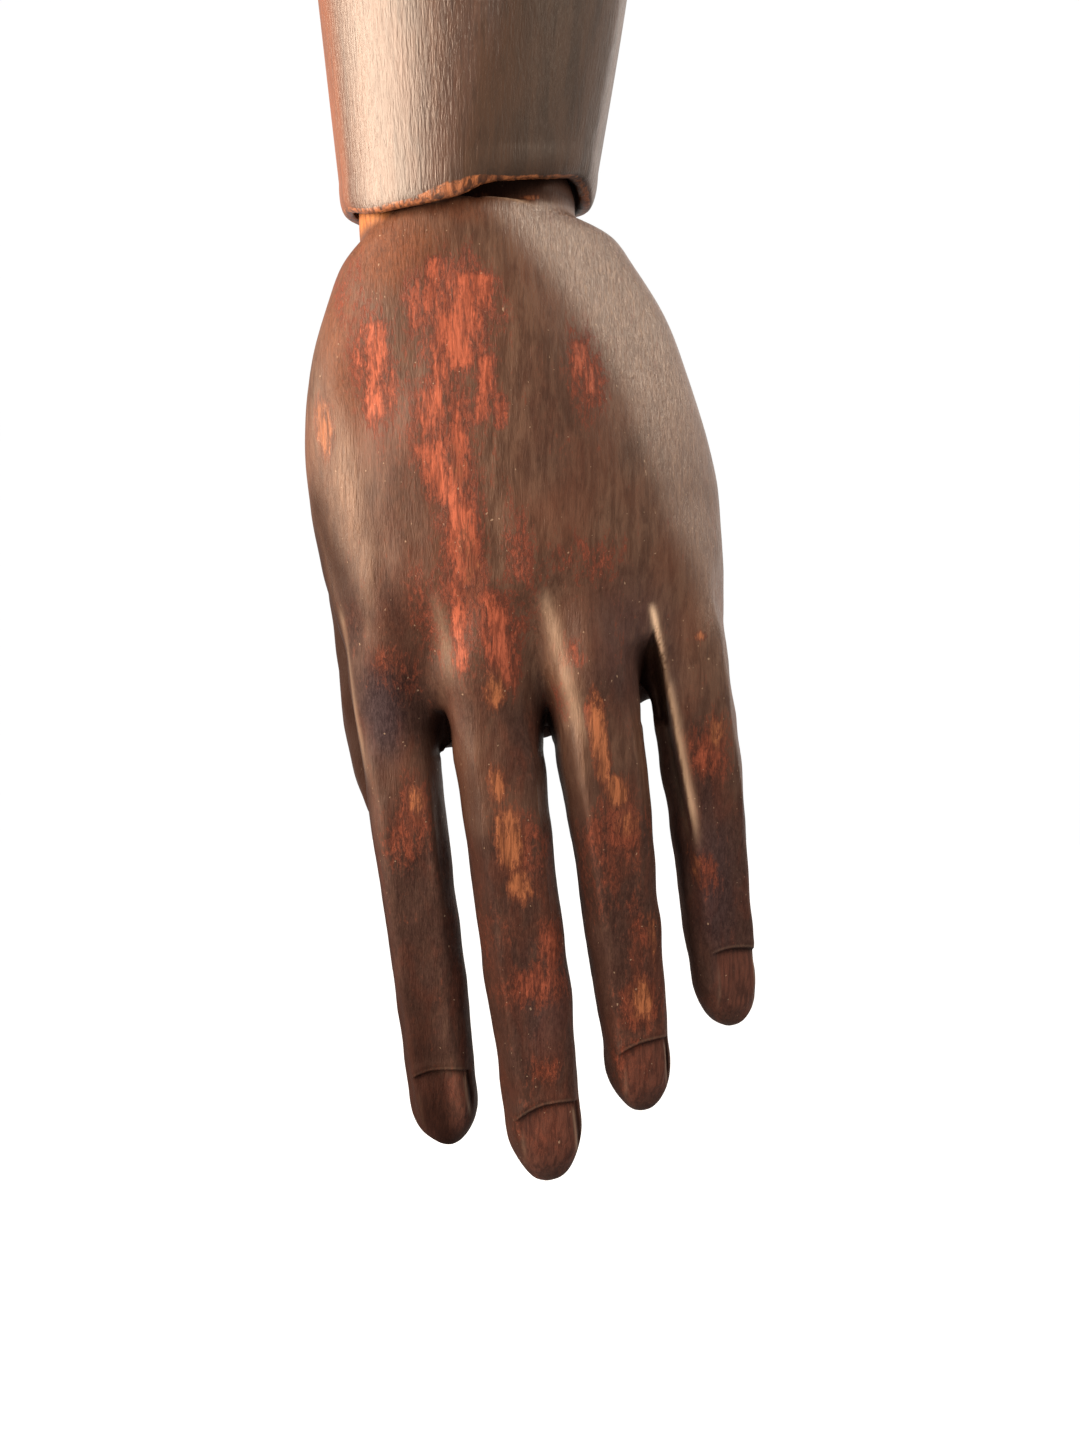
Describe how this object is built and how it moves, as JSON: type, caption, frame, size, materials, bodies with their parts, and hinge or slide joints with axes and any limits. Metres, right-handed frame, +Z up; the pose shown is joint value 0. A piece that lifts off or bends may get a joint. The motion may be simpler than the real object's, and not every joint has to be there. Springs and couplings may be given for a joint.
{
  "type": "mannequin forearm and hand",
  "caption": "Carved wooden left hand and turned forearm of an artist's mannequin, with pegged wrist and elbow joints that bend, turn and hold their pose.",
  "frame": {"origin": "middle of the flat top of the elbow spindle, where an upper arm holds the forearm", "axes": "+Z up along the forearm towards the upper arm, +X to the little-finger side, +Y to the palm side"},
  "size_m": [0.094, 0.0722, 0.5208],
  "materials": {
    "stained_wood": "worn dark stain, satin",
    "forearm_wood": "rubbed brown stain, satin",
    "bare_wood": "unfinished",
    "leather": "matte"
  },
  "bodies": {
    "elbow_tongue": {"elbow_tongue": "bare_wood"},
    "forearm": {"forearm": "forearm_wood", "elbow_peg": "bare_wood", "elbow_washer_outer": "leather", "elbow_washer_inner": "leather", "swivel_peg_left": "bare_wood", "swivel_peg_right": "bare_wood", "wrist_washer": "leather"},
    "wrist_tongue": {"wrist_tongue": "bare_wood"},
    "hand": {"hand": "stained_wood", "wrist_peg": "bare_wood"}
  },
  "joints": [
    {"name": "elbow_bend", "type": "hinge", "parent": "elbow_tongue", "child": "forearm", "pos_m": [0, 0, -0.09], "axis": [0, 1, 0], "range_deg": [0, 95]},
    {"name": "wrist_turn", "type": "hinge", "parent": "forearm", "child": "wrist_tongue", "pos_m": [0, 0, -0.335], "axis": [0, 0, 1], "continuous": true},
    {"name": "wrist_nod", "type": "hinge", "parent": "wrist_tongue", "child": "hand", "pos_m": [0, 0, -0.335], "axis": [1, 0, 0], "range_deg": [-8, 30]}
  ]
}
